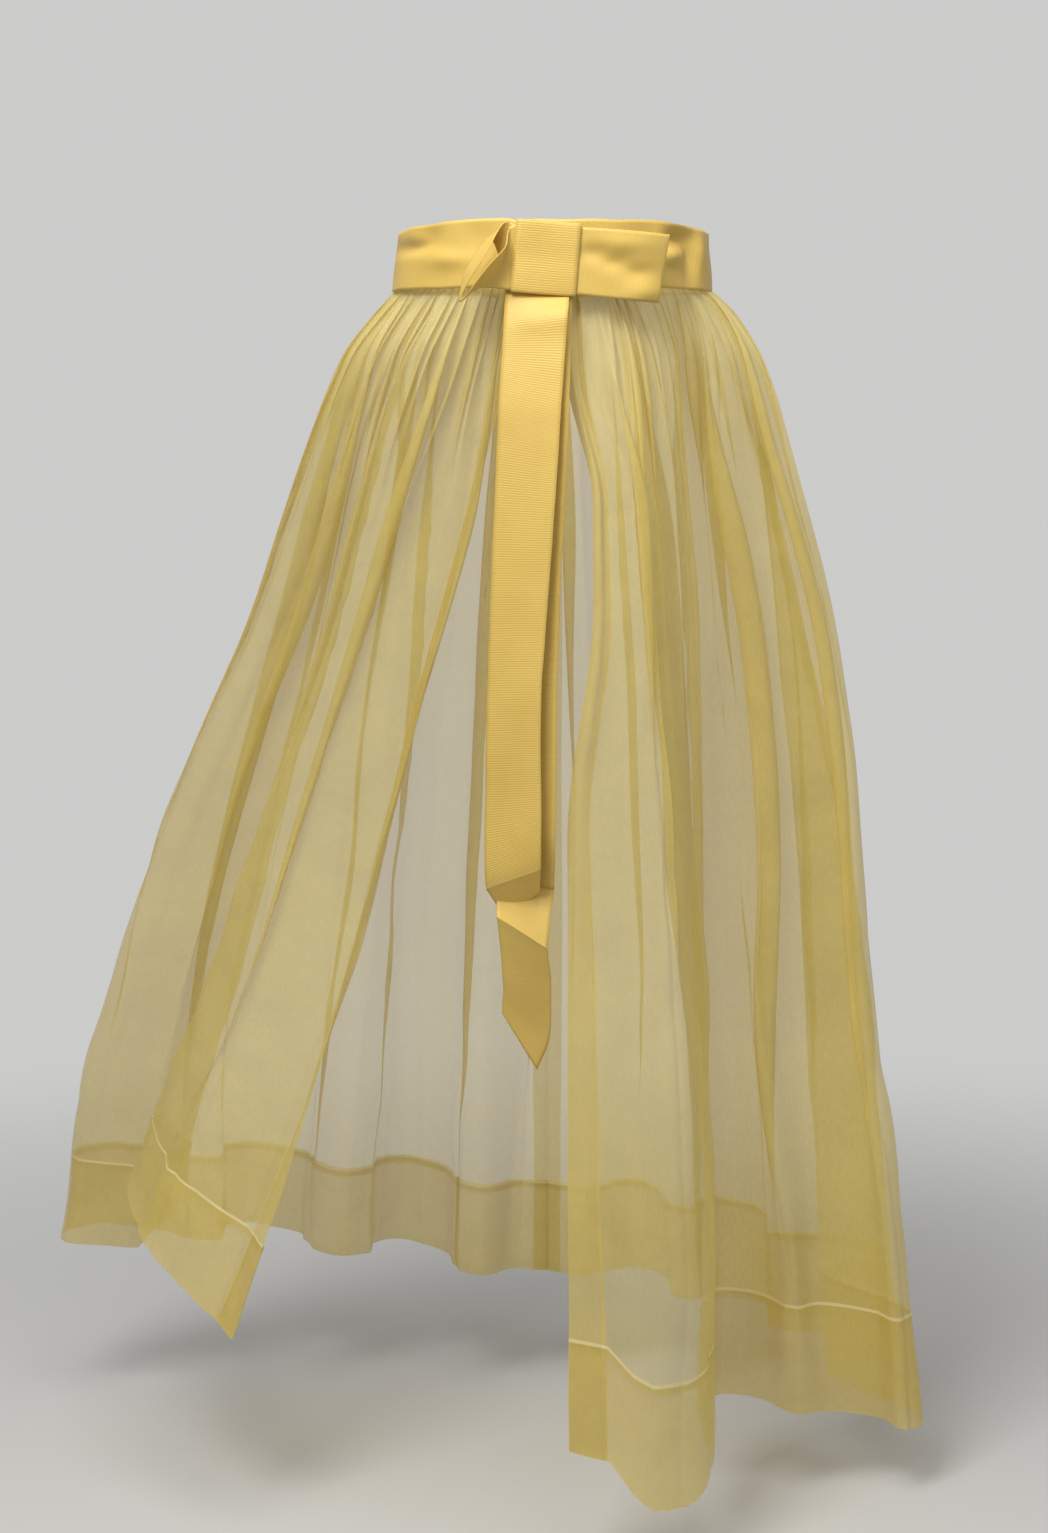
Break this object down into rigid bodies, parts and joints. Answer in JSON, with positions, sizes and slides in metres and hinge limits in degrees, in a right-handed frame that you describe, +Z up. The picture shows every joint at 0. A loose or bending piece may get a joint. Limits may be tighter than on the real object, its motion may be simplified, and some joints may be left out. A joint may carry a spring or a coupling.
{
  "type": "overskirt",
  "caption": "Sheer open-front overskirt, gathered into a grosgrain ribbon waistband with a flat bow and long ribbon tails; deep turned-up hem.",
  "frame": {"origin": "centre of the waist opening, at mid-height of the waistband", "axes": "+Z up along the wearer's body, -Y towards the front opening and the bow, +X towards the wearer's left"},
  "size_m": [0.7221, 0.4902, 0.9489],
  "materials": {
    "organza": "sheer, crisp, faint sheen",
    "ribbon": "ribbed grosgrain, satin",
    "hook_metal": "satin"
  },
  "bodies": {
    "root": {"left_panel": "organza", "right_panel": "organza", "waistband": "ribbon", "bow_loops": "ribbon", "bow_knot": "ribbon", "front_tail": "ribbon", "rear_tail": "ribbon", "waist_hooks": "hook_metal", "waist_bars": "hook_metal"}
  },
  "joints": []
}
